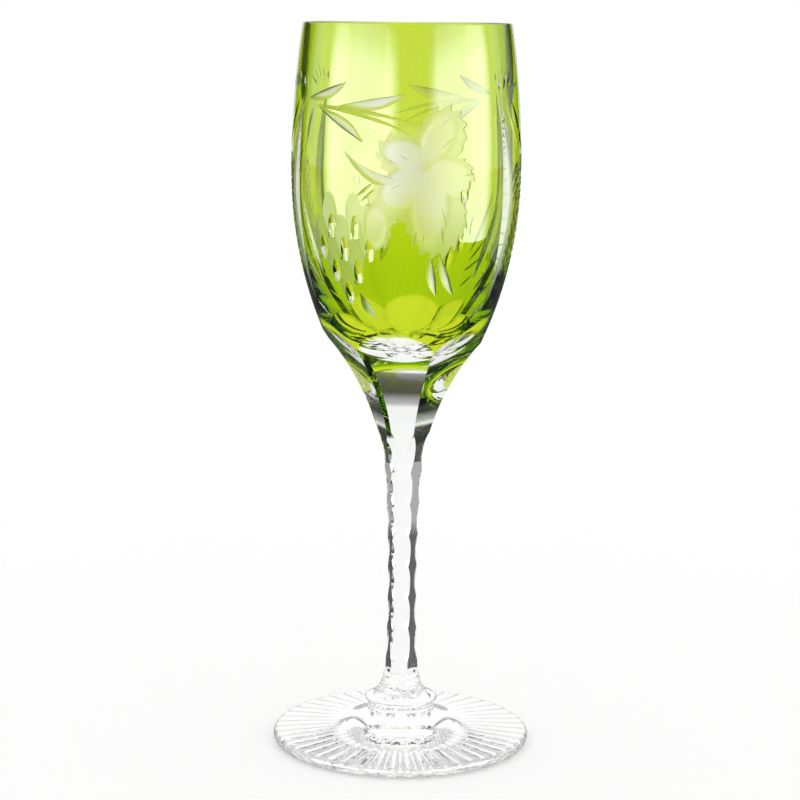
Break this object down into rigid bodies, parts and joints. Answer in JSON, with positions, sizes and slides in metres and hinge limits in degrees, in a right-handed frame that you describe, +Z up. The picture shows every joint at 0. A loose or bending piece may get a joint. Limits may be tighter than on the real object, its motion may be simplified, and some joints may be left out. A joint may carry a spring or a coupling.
{
  "type": "roemer wine glass",
  "caption": "Stemmed wine glass: green cased bowl cut to clear with grapes and vine leaves, notched faceted stem, flared collar and a fluted round foot.",
  "frame": {"origin": "centre of the foot's underside, on the table", "axes": "+Z up along the stem to the rim, -Y out of the front of the decor, +X to the right seen from the front"},
  "size_m": [0.0736, 0.0736, 0.205],
  "materials": {
    "green_casing": "polished, with satin cuts",
    "clear_crystal": "polished"
  },
  "bodies": {
    "root": {"bowl_casing": "green_casing", "bowl_crystal": "clear_crystal", "stem": "clear_crystal", "collar": "clear_crystal", "foot": "clear_crystal"}
  },
  "joints": []
}
